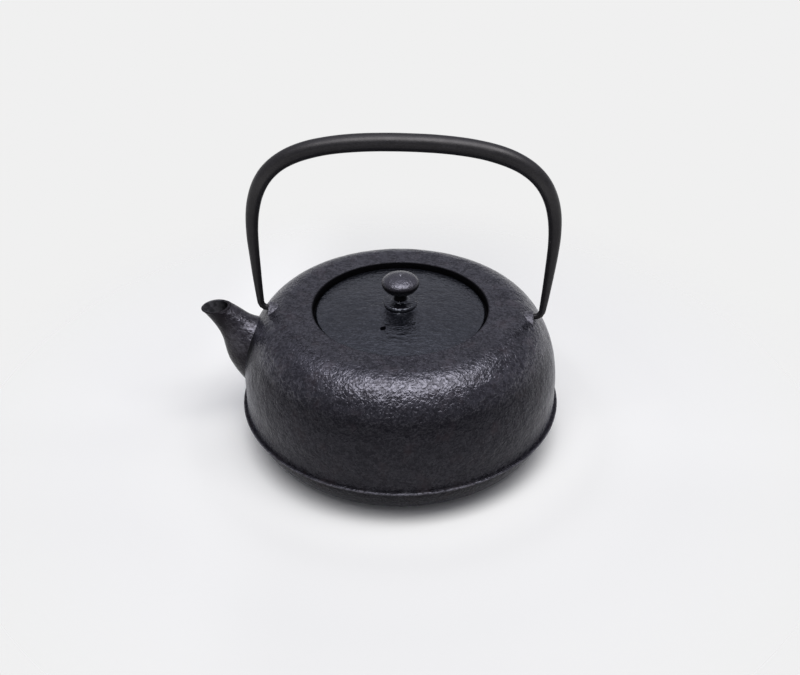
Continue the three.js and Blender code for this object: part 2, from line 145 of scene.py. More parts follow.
class KettleEars(PropertyGroup):
    """Sizes of the two ears."""

    seat_radius: length("Seat radius", "From the kettle's axis to an ear's root", 69.9)
    seat_height: length("Seat height", "Height of the shoulder at an ear's root", 76.79)
    dish_radius: length("Dish radius", "Radius of the shallow dish round an ear", 6.9)
    dish_depth: length("Dish depth", "Depth of the shallow dish round an ear", 1.0)
    dish_out: length("Dish out", "How far the dish's middle lies outwards", 1.3)
    dish_shift: length("Dish shift", "How far the dish's middle lies to the front", 1.6)
    face_radius: length("Face radius", "From the kettle's axis to an ear's face", 73.4)
    thickness: length("Thickness", "Along the kettle's length", 6.6)
    top_half_width: length("Top half width", "Half an ear's width at its top", 2.3)
    foot_half_width: length("Foot half width", "Half an ear's width at its foot", 12)
    top: length("Top", "Height of an ear's top", 78.75)
    foot: length("Foot", "Height of an ear's foot, inside the wall", 70.9)
    foot_reach: length("Foot reach", "How much further inwards an ear's foot goes", 2.6)
    top_slope: length("Top slope", "How far an ear's top falls towards the lid", 1.3)
    pin_height: length("Pin height", "Height of the handle's pins", 75.49)
    hole_radius: length("Hole radius", "Radius of the pin hole", 2)
    hole_depth: length("Hole depth", "Depth of the pin hole", 2.9)


class KettleHandle(PropertyGroup):
    """Sizes of the bail handle."""

    pin_radius: length("Pin radius", "Radius of the pins in the ears", 1.75)
    pin_depth: length("Pin depth", "Depth of each pin in its ear", 2.6)
    hook_run: length("Hook run", "From an ear's face out to where the pin bends", 0.4)
    hook_bend: length("Hook bend", "Bend radius of each hook", 3.7)
    leg_radius: length("Leg radius", "Radius of each leg at its hook", 2)
    leg_lean: angle("Leg lean", "Outward lean of each leg above its hook", 7.7)
    leg_height: length("Leg height", "From the pin up to where the arch starts", 45.6)
    grip_radius: length("Grip radius", "Radius of the bar at the grip", 4.75)
    grip_drop: length("Grip drop", "The bar is full thickness from here below the crown", 6.2)
    spread: length("Spread", "How much further out than its hook a leg stands", 2.5)
    rise: length("Rise", "Height of the arch", 55)
    foot_pull: length("Foot pull", "Upward pull of the arch's curve at its foot", 40.4)
    crown_pull: length("Crown pull", "Outward pull of the arch's curve at its crown", 61.9)
    lean: length("Lean", "How far the hand bent crown stands towards +X", 1.56)
    sides: IntProperty(name="Sides", description="Sides of the bar", default=36)
    spacing: length("Spacing", "Distance between the bar's rings", 2.1)


class KettleLid(PropertyGroup):
    """Sizes of the lid, its knob and the collar between them."""

    radius: length("Radius", "Radius of the lid plate", 46.9)
    edge: length("Edge height", "Height of the plate's upper edge", 76.5)
    rise: length("Rise", "Rise of the dome from edge to middle", 3.9)
    thickness: length("Thickness", "Thickness of the plate", 2.4)
    skirt_outer: length("Skirt outer", "Outer radius of the skirt under the plate", 42.9)
    skirt_wall: length("Skirt wall", "Thickness of the skirt", 2.4)
    skirt_low: length("Skirt low", "Height of the skirt's lower edge", 67.1)
    tang_hole: length("Tang hole", "Radius of the hole for the knob's tang", 2.5)
    vent_radius: length("Vent radius", "Radius of the vent hole", 1.65)
    vent_x: length("Vent X", "Place of the vent hole", -7.8)
    vent_y: length("Vent Y", "Place of the vent hole", -23.1)
    collar_radius: length("Collar radius", "Radius of the collar", 9.3)
    collar_low: length("Collar low", "Height of the collar's underside", 80.7)
    collar_top: length("Collar top", "Height of the collar's middle", 84.3)
    knob_radius: length("Knob radius", "Radius of the knob's head", 10.3)
    knob_middle: length("Knob middle", "Height of the head's widest ring", 94.2)
    knob_top: length("Knob top", "Height of the knob's crown", KNOB_HIGH.z / MM)
    neck_radius: length("Neck radius", "Radius of the knob's neck", 3.4)
    tang_radius: length("Tang radius", "Radius of the tang through the lid", 2.2)
    rivet_radius: length("Rivet radius", "Radius of the rivet head below", 3.6)
    rivet_top: length("Rivet top", "Height of the rivet head's upper side", 76.15)
    rivet_low: length("Rivet low", "Height of the rivet head's crown", KNOB_LOW.z / MM)
    steps: IntProperty(name="Steps", description="Steps round the lid", default=320)


class KettleFinishes(PropertyGroup):
    """Colours of the irons and of the stage."""

    cast: colour("Cast iron", "The body's dark casting skin", 0.0062, 0.0058, 0.0074)
    cast_pale: colour("Worn cast iron", "Where the skin is thin", 0.0155, 0.0148, 0.0172)
    cast_warm: colour("Warm cast iron", "Faint brown of the lacquer", 0.014, 0.0098, 0.0112)
    spout: colour("Spout iron", "The spout's smoother skin", 0.0062, 0.0055, 0.0066)
    ear: colour("Ear iron", "The ears' rough grey skin", 0.082, 0.08, 0.088)
    bar: colour("Handle iron", "The handle's matt black", 0.0072, 0.0068, 0.0073)
    speck: colour("Specks", "Tiny pale specks on the handle", 0.16, 0.155, 0.15)
    lid: colour("Lid iron", "The lid's glossy blue black", 0.0055, 0.0068, 0.0094)
    knob: colour("Knob iron", "The knob's satin black", 0.011, 0.01, 0.012)
    inside: colour("Inner iron", "The bare iron inside", 0.035, 0.032, 0.033)
    mouth: colour("Spout's inside", "The bare iron in the spout", 0.042, 0.041, 0.044)
    # Painted shade: a black that stands in for shade in creases, recesses and undersides
    painted_shade: colour("Painted_shade", "The black of creases and undersides", 0.002, 0.0018, 0.002)
    floor: colour("Floor", "The pale floor", 0.778, 0.774, 0.748)
    backdrop: colour("Backdrop", "The pale background", 0.871, 0.871, 0.871)


class KettleSettings(PropertyGroup):
    """All of the kettle's sizes and colours."""

    body: PointerProperty(type=KettleBody)
    spout: PointerProperty(type=KettleSpout)
    ears: PointerProperty(type=KettleEars)
    handle: PointerProperty(type=KettleHandle)
    lid: PointerProperty(type=KettleLid)
    finishes: PointerProperty(type=KettleFinishes)


# Lines and sections


def bezier(anchors, share):
    """The point a share of the way along the curve that the anchors pull."""
    points = [Vector(anchor) for anchor in anchors]
    while len(points) > 1:
        points = [a.lerp(b, share) for a, b in zip(points, points[1:])]
    return points[0]


def curved(anchors, steps):
    """Points along the curve that the anchors pull, both ends included."""
    return [bezier(anchors, step / steps) for step in range(steps + 1)]


def rounded(corner, before, after, steps):
    """The rounding of a corner, from an offset before it to an offset after it."""
    (x, z), (back_x, back_z), (on_x, on_z) = corner, before, after
    return curved([(x + back_x, z + back_z), corner, (x + on_x, z + on_z)], steps)


def quarter(start, end, steps):
    """A quarter ellipse that leaves its start level and reaches its end upright."""
    points = []
    for step in range(steps + 1):
        turn = step / steps * math.pi / 2
        radius = start[0] + (end[0] - start[0]) * math.sin(turn)
        points.append(Vector((radius, end[1] - (end[1] - start[1]) * math.cos(turn))))
    return points


def offset(points, distance):
    """The line moved to its right by a distance, seen along its way."""
    moved = []
    for index, point in enumerate(points):
        before = points[max(0, index - 1)]
        after = points[min(len(points) - 1, index + 1)]
        along = (after - before).normalized()
        moved.append(point + Vector((along.y, -along.x)) * distance)
    return moved


def evenly(points, spacing):
    """The same line with its points at even distances. A third number is carried along."""
    walked = [0.0]
    for a, b in zip(points, points[1:]):
        walked.append(walked[-1] + (b.xy - a.xy).length)
    count = round(walked[-1] / spacing)
    found, index = [], 0
    for step in range(count + 1):
        goal = walked[-1] * step / count
        while index < len(points) - 2 and walked[index + 1] < goal:
            index += 1
        share = (goal - walked[index]) / (walked[index + 1] - walked[index])
        found.append(points[index].lerp(points[index + 1], min(1, share)))
    return found


def wall_line(body, waist_steps, shoulder_steps):
    """The upper wall's section, from the flange over the belly to the flat top."""
    middle = (body.flange_top + body.belly_height) / 2
    waist = curved(
        [
            (body.waist_radius, body.flange_top),
            (body.belly_radius, middle),
            (body.belly_radius, body.belly_height),
        ],
        waist_steps,
    )
    return waist + curved(shoulder_anchors(body), shoulder_steps)[1:]


def shoulder_anchors(body):
    """What pulls the shoulder's curve from the belly to the flat top."""
    return [
        (body.belly_radius, body.belly_height),
        (body.belly_radius, body.belly_height + body.shoulder_rise),
        (body.flat_radius + body.shoulder_run, body.height),
        (body.flat_radius, body.height),
    ]


def shoulder_radius(body, height):
    """The shoulder's radius at a height."""
    low, high = 0.0, 1.0
    for _ in range(40):
        middle = (low + high) / 2
        if bezier(shoulder_anchors(body), middle).y < height:
            low = middle
        else:
            high = middle
    return bezier(shoulder_anchors(body), high).x


# Modelling by operators


def begin():
    """Deselect everything, so that the next primitive is selected alone."""
    bpy.ops.object.select_all(action="DESELECT")


def choose(piece):
    """Select one piece alone and make it active."""
    begin()
    piece.select_set(True)
    bpy.context.view_layer.objects.active = piece


def edit(piece):
    """Enter edit mode on one piece with all of it selected."""
    choose(piece)
    bpy.ops.object.mode_set(mode="EDIT")
    bpy.ops.mesh.select_all(action="SELECT")


def done():
    """Leave edit mode."""
    bpy.ops.object.mode_set(mode="OBJECT")


def edit_where(piece, test):
    """Enter edit mode with only the points selected whose place passes a test."""
    choose(piece)
    mesh = piece.data
    for vertex in mesh.vertices:
        vertex.select = test(vertex.co)
    for edge in mesh.edges:
        edge.select = all(mesh.vertices[v].select for v in edge.vertices)
    for polygon in mesh.polygons:
        polygon.select = all(mesh.vertices[v].select for v in polygon.vertices)
    bpy.ops.object.mode_set(mode="EDIT")


def settle(piece, name):
    """Name a new primitive and put its place into its mesh."""
    piece.name = name
    piece.data.name = name
    choose(piece)
    bpy.ops.object.transform_apply(location=True, rotation=True, scale=True)
    return piece


def added(primitive, name, **settings):
    """A new primitive, made by its operator, selected alone and with its place in its mesh."""
    begin()
    primitive(**settings)
    return settle(bpy.context.active_object, name)


def apply(piece, kind, **settings):
    """Add a modifier with its settings and apply it."""
    choose(piece)
    bpy.ops.object.modifier_add(type=kind)
    modifier = piece.modifiers[-1]
    for name, value in settings.items():
        setattr(modifier, name, value)
    bpy.ops.object.modifier_apply(modifier=modifier.name)


def tidy(piece):
    """Merge doubles and turn the faces outwards."""
    edit(piece)
    bpy.ops.mesh.remove_doubles(threshold=1e-6)
    bpy.ops.mesh.normals_make_consistent(inside=False)
    done()


def smooth(piece, degrees):
    """Shade smooth, with edges sharper than an angle kept."""
    choose(piece)
    bpy.ops.object.shade_smooth_by_angle(angle=math.radians(degrees))


def turned(name, section, steps):
    """A section of (radius, height) points, drawn point by point and turned round the axis."""
    points = [Vector(point) for point in section]
    start = (points[0].x, 0, points[0].y)
    piece = added(bpy.ops.mesh.primitive_plane_add, name, size=MM, location=start)
    edit(piece)
    bpy.ops.mesh.merge(type="CENTER")
    for before, after in zip(points, points[1:]):
        step = (after.x - before.x, 0, after.y - before.y)
        bpy.ops.mesh.extrude_region_move(TRANSFORM_OT_translate={"value": step})
    done()
    apply(
        piece,
        "SCREW",
        angle=2 * math.pi,
        steps=steps,
        render_steps=steps,
        use_merge_vertices=True,
        merge_threshold=1e-7,
    )
    tidy(piece)
    return piece


class Ring:
    """A ring of a tube: its middle in the XZ plane, its half length there, its half width along Y
    and its tilt about Y."""

    def __init__(self, x, z, half_length, half_width, tilt):
        self.middle = Vector((x, 0, z))
        self.half_length = half_length
        self.half_width = half_width
        self.tilt = tilt

    def turn(self, tilt):
        """Turn the selected ring about its middle."""
        if abs(tilt) > 1e-9:
            bpy.ops.transform.rotate(value=tilt, orient_axis="Y", center_override=self.middle)

    def scale(self, along, across):
        """Scale the selected, level ring about its middle."""
        bpy.ops.transform.resize(value=(along, across, 1), center_override=self.middle)


def tube(name, rings, sides, fill):
    """A tube drawn out of a circle ring by ring. With fill NGON its ends are closed."""
    first = rings[0]
    circle = {"vertices": sides, "radius": 1, "fill_type": fill, "location": first.middle}
    piece = added(bpy.ops.mesh.primitive_circle_add, name, **circle)
    edit(piece)
    first.scale(first.half_length, first.half_width)
    first.turn(first.tilt)
    for before, after in zip(rings, rings[1:]):
        step = after.middle - before.middle
        bpy.ops.mesh.extrude_region_move(TRANSFORM_OT_translate={"value": step})
        after.turn(-before.tilt)
        after.scale(after.half_length / before.half_length, after.half_width / before.half_width)
        after.turn(after.tilt)
    if fill == "NOTHING":
        bpy.ops.mesh.select_all(action="DESELECT")
        bpy.ops.mesh.select_non_manifold()
        bpy.ops.mesh.bridge_edge_loops()
    done()
    tidy(piece)
    return piece


def cut(piece, tool):
    """Cut a piece with a tool, which is used up."""
    apply(piece, "BOOLEAN", operation="DIFFERENCE", solver="MANIFOLD", object=tool)
    bpy.data.objects.remove(tool, do_unlink=True)


def skin_group(piece, section, depths):
    """A vertex group with each point's skin depth, that of the nearest point of its section.
    Gives back the number of that nearest point for each point."""
    tree = kdtree.KDTree(len(section))
    for index, point in enumerate(section):
        tree.insert((point[0], 0, point[1]), index)
    tree.balance()
    group = piece.vertex_groups.new(name="skin")
    nearest = []
    members = {}
    for vertex in piece.data.vertices:
        radius = math.hypot(vertex.co.x, vertex.co.y)
        index = tree.find((radius, 0, vertex.co.z))[1]
        nearest.append(index)
        members.setdefault(round(depths[index], 3), []).append(vertex.index)
    for depth, found in members.items():
        group.add(found, depth, "REPLACE")
    return nearest


def press_lumps(piece, name, size, depth, group=""):
    """Press lumps of a size into a piece's surface, up to a depth and nowhere outwards."""
    lumps = bpy.data.textures.new(name, type="CLOUDS")
    lumps.noise_scale = size
    lumps.noise_depth = 2
    apply(
        piece,
        "DISPLACE",
        texture=lumps,
        texture_coords="LOCAL",
        strength=depth,
        mid_level=1.0,
        vertex_group=group,
    )


def finish_piece(piece, body, nodes, materials):
    """Give a piece its finish, each face keeping the number of its material, and tie the piece
    to the frame."""
    kinds = [polygon.material_index for polygon in piece.data.polygons]
    piece.data.materials.clear()
    for made in materials:
        piece.data.materials.append(made)
    for polygon, kind in zip(piece.data.polygons, kinds):
        polygon.material_index = kind
    piece.vertex_groups.clear()
    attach(piece, body)
    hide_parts(*nodes)


# Materials


def sign(operation, reflected=False):
    """A method that adds a Math node for a value and another, in that order or reflected."""

    def reckon(value, other):
        terms = (other, value) if reflected else (value, other)
        inputs = dict(enumerate(terms))
        return value.mixer.node("ShaderNodeMath", {"operation": operation}, inputs)

    return reckon


class Value:
    """A socket that Python's signs reckon with. Each sign adds its Math node."""

    def __init__(self, mixer, socket):
        self.mixer = mixer
        self.socket = socket

    __add__, __radd__ = sign("ADD"), sign("ADD", reflected=True)
    __sub__, __rsub__ = sign("SUBTRACT"), sign("SUBTRACT", reflected=True)
    __mul__, __rmul__ = sign("MULTIPLY"), sign("MULTIPLY", reflected=True)
    __truediv__, __rtruediv__ = sign("DIVIDE"), sign("DIVIDE", reflected=True)
    __pow__ = sign("POWER")
    most = sign("MAXIMUM")


class Mixer:
    """A node tree that nodes are added to."""

    def __init__(self, tree):
        self.tree = tree
        tree.nodes.clear()

    def node(self, kind, settings=None, inputs=None, output=0):
        """A node of a type, with its settings made first and then its inputs given or linked."""
        made = self.tree.nodes.new(kind)
        for name, value in (settings or {}).items():
            setattr(made, name, value)
        for name, value in (inputs or {}).items():
            if isinstance(value, Value):
                self.tree.links.new(value.socket, made.inputs[name])
            else:
                made.inputs[name].default_value = value
        return Value(self, made.outputs[output]) if made.outputs else None

    def place(self):
        """The point on the piece, in metres, in the part's frame."""
        return self.node("ShaderNodeTexCoord", output="Object")

    def parts(self, vector):
        """A vector's X, Y and Z."""
        first = self.node("ShaderNodeSeparateXYZ", inputs={0: vector})
        outputs = first.socket.node.outputs
        return [Value(self, outputs[index]) for index in range(3)]

    def stretched(self, vector, scale, tilt=0.0):
        """A vector turned about Y, then scaled."""
        inputs = {"Vector": vector, "Angle": tilt}
        tilted = self.node("ShaderNodeVectorRotate", {"rotation_type": "Y_AXIS"}, inputs)
        multiply = {"operation": "MULTIPLY"}
        return self.node("ShaderNodeVectorMath", multiply, {0: tilted, 1: scale})

    def scaled(self, vector, amount):
        """A vector or colour times an amount."""
        return self.node("ShaderNodeVectorMath", {"operation": "SCALE"}, {0: vector, 3: amount})

    def noise(self, vector, size, detail=2.0, roughness=0.5, distortion=0.0):
        """Noise from 0 to 1 whose features have a size in metres."""
        inputs = {"Vector": vector, "Scale": 1 / size, "Detail": detail}
        inputs.update({"Roughness": roughness, "Distortion": distortion})
        return self.node("ShaderNodeTexNoise", {}, inputs)

    def spots(self, size, core, rim):
        """Scattered round spots, 1 within the core and 0 beyond the rim, in shares of a size."""
        inputs = {"Vector": self.place(), "Scale": 1 / size, "Randomness": 1.0}
        middle = self.node("ShaderNodeTexVoronoi", {}, inputs, "Distance")
        return 1 - self.ramp(middle, core, rim)

    def ramp(self, value, low, high, start=0.0, end=1.0):
        """A value from low to high as a smooth step from start to end."""
        inputs = {0: value, 1: low, 2: high, 3: start, 4: end}
        return self.node("ShaderNodeMapRange", {"interpolation_type": "SMOOTHSTEP"}, inputs)

    def blend(self, factor, first, second):
        """A colour between two colours."""
        inputs = {0: factor, 6: solid(first), 7: solid(second)}
        return self.node("ShaderNodeMix", {"data_type": "RGBA"}, inputs, 2)

    def bump(self, height):
        """A normal from a height in metres."""
        return self.node("ShaderNodeBump", {}, {"Height": height, "Distance": 1.0})

    def iron(self, base, roughness, normal, ior, tint=(0.88, 0.86, 1.0), bloom=0.0):
        """An iron shader. The tint is that of its reflections, the bloom a faint blue at edges."""
        inputs = {"Base Color": solid(base), "Roughness": roughness, "Normal": normal, "IOR": ior}
        inputs["Specular Tint"] = solid(tint)
        inputs["Sheen Weight"] = bloom
        inputs["Sheen Roughness"] = 0.4
        inputs["Sheen Tint"] = solid((0.5, 0.52, 1.0))
        return self.node("ShaderNodeBsdfPrincipled", {}, inputs)

    def mix(self, share, first, second):
        """Two shaders, the second with a share."""
        return self.node("ShaderNodeMixShader", {}, {0: share, 1: first, 2: second})

    def close(self, shader):
        """Close a material with its shader."""
        self.node("ShaderNodeOutputMaterial", {}, {"Surface": shader})


def solid(shade):
    """A colour with its alpha, or a link left alone."""
    if isinstance(shade, Value):
        return shade
    return (*tuple(shade)[:3], 1)


def material(name):
    """A new material, its mixer and the point on the piece."""
    made = bpy.data.materials.new(name)
    made.use_nodes = True
    mixer = Mixer(made.node_tree)
    return made, mixer, mixer.place()


def hypotenuse(x, y):
    """The length of the longest side, from the two sides of a right angle."""
    return (x * x + y * y) ** 0.5


def cast_skin(finishes, body, spout):
    """The body's rough casting skin. Its gloss is painted light: glossy on the shoulder and the
    flange's edge, where the highlights fall, and dull lower down; painted shade darkens it round
    the spout's joint and down the opening's wall."""
    made, mixer, place = material("cast_skin")
    x, y, z = mixer.parts(place)
    wrinkles = mixer.noise(place, 1.45 * MM, 1.6, roughness=0.45, distortion=0.7)
    lumps = mixer.noise(place, 5.2 * MM)
    grain = mixer.noise(place, 0.45 * MM)
    broad = mixer.noise(place, 38 * MM)
    patches = mixer.noise(place, 11 * MM, 3.0, roughness=0.6)
    reach = hypotenuse(x, y)
    # The spout's joint, as shares of its half height and half width; not on the far side
    root = (spout.root_low + spout.root_high) / 2
    high = (z - root) / (spout.root_high - root)
    wide = y / spout.root_half_width
    joint = hypotenuse(high, wide) + mixer.ramp(x, -40 * MM, -30 * MM, 0, 9)
    # Painted shade: black round the upper joint stands in for the spout's shadow and dark
    # reflection on the wall, and black down the opening's inner wall for the shade there
    painted_shade = mixer.ramp(joint, 1.25, 1.95, 0.95, 0) * mixer.ramp(z, 44 * MM, 54 * MM)
    painted_shade = painted_shade * mixer.ramp(z, 61 * MM, 68 * MM, 1, 0.3)
    opening = body.opening_radius
    well = 1 - mixer.ramp(reach, opening + 0.1 * MM, opening + 0.5 * MM)
    painted_shade = painted_shade.most(well * mixer.ramp(z, 60 * MM, 66 * MM))
    # Colour and relief
    worn = mixer.ramp(wrinkles + broad * 0.5, 0.82, 1.02)
    tone = mixer.blend(mixer.ramp(patches, 0.5, 0.75), finishes.cast, finishes.cast_warm)
    tone = mixer.blend(worn, tone, finishes.cast_pale)
    calm = 1 - mixer.ramp(reach, 88.9 * MM, 89.4 * MM, 0, 0.3)
    height = wrinkles * (0.37 * MM) + lumps * (0.64 * MM) + grain * (0.012 * MM)
    normal = mixer.bump(height * calm)
    # Gloss: faint on the wall, full on the shoulder and the flange's edge, none in creases. This
    #     # gloss by place is painted light: the glossy copy lies where the soft box's highlights
    #     fall,
    #     # and the dull copy on the lower wall stands in for darker surroundings; its mottle is the
    #     skin's own
    wall = mixer.ramp(z, 20.1 * MM, 22.5 * MM, 0, 0.17)
    outside = mixer.ramp(reach, opening + 0.3 * MM, opening + 1.2 * MM)
    shoulder = mixer.ramp(z, 56 * MM, 70 * MM) * outside
    edge = mixer.ramp(reach, 89 * MM, 89.4 * MM) * mixer.ramp(z, 20.6 * MM, 21.1 * MM)
    mottle = mixer.ramp(lumps * 0.35 + wrinkles * 0.65, 0.38, 0.6, 0.4, 1)
    mottled_painted_gloss = wall.most(shoulder).most(edge) * mottle
    roughness = mixer.ramp(patches, 0.3, 0.7, 0.2, 0.3)
    dull = mixer.iron(tone, roughness, normal, DULL_IOR, bloom=0.03)
    glossy = mixer.iron(tone, roughness, normal, POLISHED_IOR, bloom=0.03)
    # This black copy is the painted shade
    black = mixer.iron(finishes.painted_shade, 0.6, normal, DULL_IOR)
    mixer.close(mixer.mix(painted_shade, mixer.mix(mottled_painted_gloss, dull, glossy), black))
    return made


def spout_skin(finishes):
    """The spout's smoother skin, with small pits and fine wrinkles across it."""
    made, mixer, place = material("spout_skin")
    x, _, z = mixer.parts(place)
    across = mixer.stretched(place, (0.8, 0.8, 1.3), math.radians(-35))
    ripples = mixer.noise(across, 1.5 * MM, distortion=0.9)
    lumps = mixer.noise(place, 3.4 * MM)
    pits = mixer.spots(2.3 * MM, 0.05, 0.3)
    patches = mixer.noise(place, 8 * MM)
    tone = mixer.blend(patches * 0.6, finishes.spout, finishes.cast_warm)
    normal = mixer.bump(ripples * (0.34 * MM) + lumps * (0.4 * MM) - pits * (0.06 * MM))
    roughness = mixer.ramp(patches, 0.3, 0.7, 0.22, 0.3)
    mottle = mixer.ramp(lumps * 0.35 + ripples * 0.65, 0.38, 0.6, 0.4, 1)
    # Painted light: the glossy copy is kept to the upper side and a patch near the joint, where the
    # highlight falls; the dull copy elsewhere stands in for shade, and its mottle is the skin's own
    near = mixer.ramp(x, -99 * MM, -89 * MM, 0.05, 1)
    mottled_painted_gloss = mixer.ramp(z, 48 * MM, 62 * MM, 0.1, 1) * mottle * near
    dull = mixer.iron(tone, roughness, normal, DULL_IOR)
    glossy = mixer.iron(tone, roughness, normal, THICK_IOR)
    mixer.close(mixer.mix(mottled_painted_gloss, dull, glossy))
    return made


def ear_skin(finishes):
    """The ears' rough, worn grey skin."""
    made, mixer, place = material("ear_skin")
    lumps = mixer.noise(place, 1.4 * MM, 3.0, roughness=0.6)
    grain = mixer.noise(place, 0.5 * MM)
    tone = mixer.blend(mixer.ramp(lumps, 0.36, 0.6), finishes.cast, finishes.ear)
    roughness = mixer.ramp(lumps, 0.3, 0.7, 0.42, 0.28)
    normal = mixer.bump(lumps * (0.5 * MM) + grain * (0.1 * MM))
    mixer.close(mixer.iron(tone, roughness, normal, 1.75))
    return made


def bar_skin(finishes):
    """The handle's matt, nearly smooth skin with a few tiny pale specks. It is glossier towards the
    grip, worn by the hand, and painted shade makes its undersides dull."""
    made, mixer, place = material("bar_skin")
    z = mixer.parts(place)[2]
    rise = mixer.parts(mixer.node("ShaderNodeTexCoord", output="Normal"))[2]
    grain = mixer.noise(place, 0.7 * MM, 3.0, roughness=0.6)
    swells = mixer.noise(place, 6 * MM)
    chosen = mixer.ramp(mixer.noise(place, 14 * MM, 1.0), 0.58, 0.62)
    specks = mixer.spots(5 * MM, 0.03, 0.055) * chosen
    tone = mixer.blend(mixer.ramp(grain, 0.4, 0.7), finishes.bar, finishes.cast_pale)
    tone = mixer.blend(specks, tone, finishes.speck)
    normal = mixer.bump(grain * (0.035 * MM) + swells * (0.12 * MM))
    roughness = mixer.ramp(swells, 0.3, 0.7, 0.34, 0.44)
    # Painted shade: faces turned downwards, and on the grip those not turned upwards, take the dull
    # copy; the gloss growing towards the grip is wear from the hand
    underside_shade = (1 - mixer.ramp(rise, -0.1, 0.5)) * mixer.ramp(z, 150 * MM, 170 * MM, 0, 0.7)
    grip_wear_and_painted_top = mixer.ramp(z, 130 * MM, 168 * MM, 0.42, 1) * mixer.ramp(rise, -0.7, -0.1)
    dull = mixer.iron(tone, roughness, normal, DULL_IOR)
    glossy = mixer.iron(tone, roughness, normal, BAR_IOR, (0.97, 0.93, 0.94))
    mixer.close(mixer.mix(grip_wear_and_painted_top * (1 - underside_shade), dull, glossy))
    return made


def lid_skin(finishes):
    """The lid's glossy, rippled skin with tiny pits, crispest near the knob."""
    made, mixer, place = material("lid_skin")
    x, y, _ = mixer.parts(place)
    along = mixer.stretched(place, (0.6, 1.15, 1))
    ripples = mixer.noise(along, 3.4 * MM, distortion=0.4)
    crepe = mixer.noise(along, 1.2 * MM)
    pits = mixer.spots(3.1 * MM, 0.04, 0.14)
    patches = mixer.noise(place, 14 * MM)
    tone = mixer.blend(patches, finishes.lid, finishes.cast)
    crisp = mixer.ramp(hypotenuse(x, y), 11 * MM, 24 * MM, 0.38 * MM, 0.25 * MM)
    normal = mixer.bump(ripples * (0.4 * MM) + crepe * crisp - pits * (0.04 * MM))
    roughness = mixer.ramp(patches, 0.3, 0.7, 0.08, 0.12)
    blue = (0.84, 0.88, 1.0)
    thin = mixer.iron(tone, roughness, normal, THIN_IOR, blue)
    thick = mixer.iron(tone, roughness, normal, THICK_IOR, blue)
    mottle = mixer.ramp(ripples * 0.4 + crepe * 0.6, 0.38, 0.62)
    mixer.close(mixer.mix(mottle, thin, thick))
    return made


def knob_skin(finishes, middle):
    """The knob's satin skin with fine pitting, glossy above its middle, painted dark and dull below
    it as painted shade, and with the pip on its crown worn pale."""
    made, mixer, place = material("knob_skin")
    x, y, z = mixer.parts(place)
    pits = mixer.noise(place, 1.1 * MM, 3.0, roughness=0.6)
    lumps = mixer.noise(place, 2.4 * MM)
    tone = mixer.blend(mixer.ramp(pits, 0.42, 0.68), finishes.knob, finishes.cast)
    # Painted shade: below its widest ring the knob is painted black and takes the dull copy,
    # standing in for the dark lid it faces
    under = mixer.ramp(z, middle - 2 * MM, middle + 1 * MM, 1, 0)
    tone = mixer.blend(under, tone, finishes.painted_shade)
    pip = mixer.ramp(hypotenuse(x, y), 0.5 * MM, 0.75 * MM, 1, 0)
    tone = mixer.blend(pip * (1 - under), tone, finishes.ear)
    normal = mixer.bump(pits * (0.34 * MM) + lumps * (0.3 * MM))
    roughness = mixer.ramp(lumps, 0.3, 0.7, 0.2, 0.28)
    dull = mixer.iron(tone, roughness, normal, DULL_IOR)
    glossy = mixer.iron(tone, roughness, normal, POLISHED_IOR)
    mixer.close(mixer.mix(mixer.ramp(z, middle, middle + 2.4 * MM), dull, glossy))
    return made


def inner_iron(name, shade, scars=0.0):
    """Bare iron inside, with brown patches. Scars are how black its rough spots are."""
    made, mixer, place = material(name)
    patches = mixer.noise(place, 9 * MM, 4.0, roughness=0.6)
    grain = mixer.noise(place, 1.1 * MM, 3.0)
    rusty = tuple(part * share for part, share in zip(shade, (1.3, 0.95, 0.75)))
    tone = mixer.blend(mixer.ramp(patches, 0.5, 0.7), shade, rusty)
    spots = mixer.ramp(mixer.noise(place, 2.6 * MM), 0.42, 0.6, scars, 0)
    tone = mixer.blend(spots, tone, (0.003, 0.003, 0.003))
    roughness = mixer.ramp(grain, 0.3, 0.7, 0.55, 0.75)
    normal = mixer.bump(patches * (0.9 * MM) + grain * (0.16 * MM))
    mixer.close(mixer.iron(tone, roughness, normal, 1.45))
    return made


# Pieces


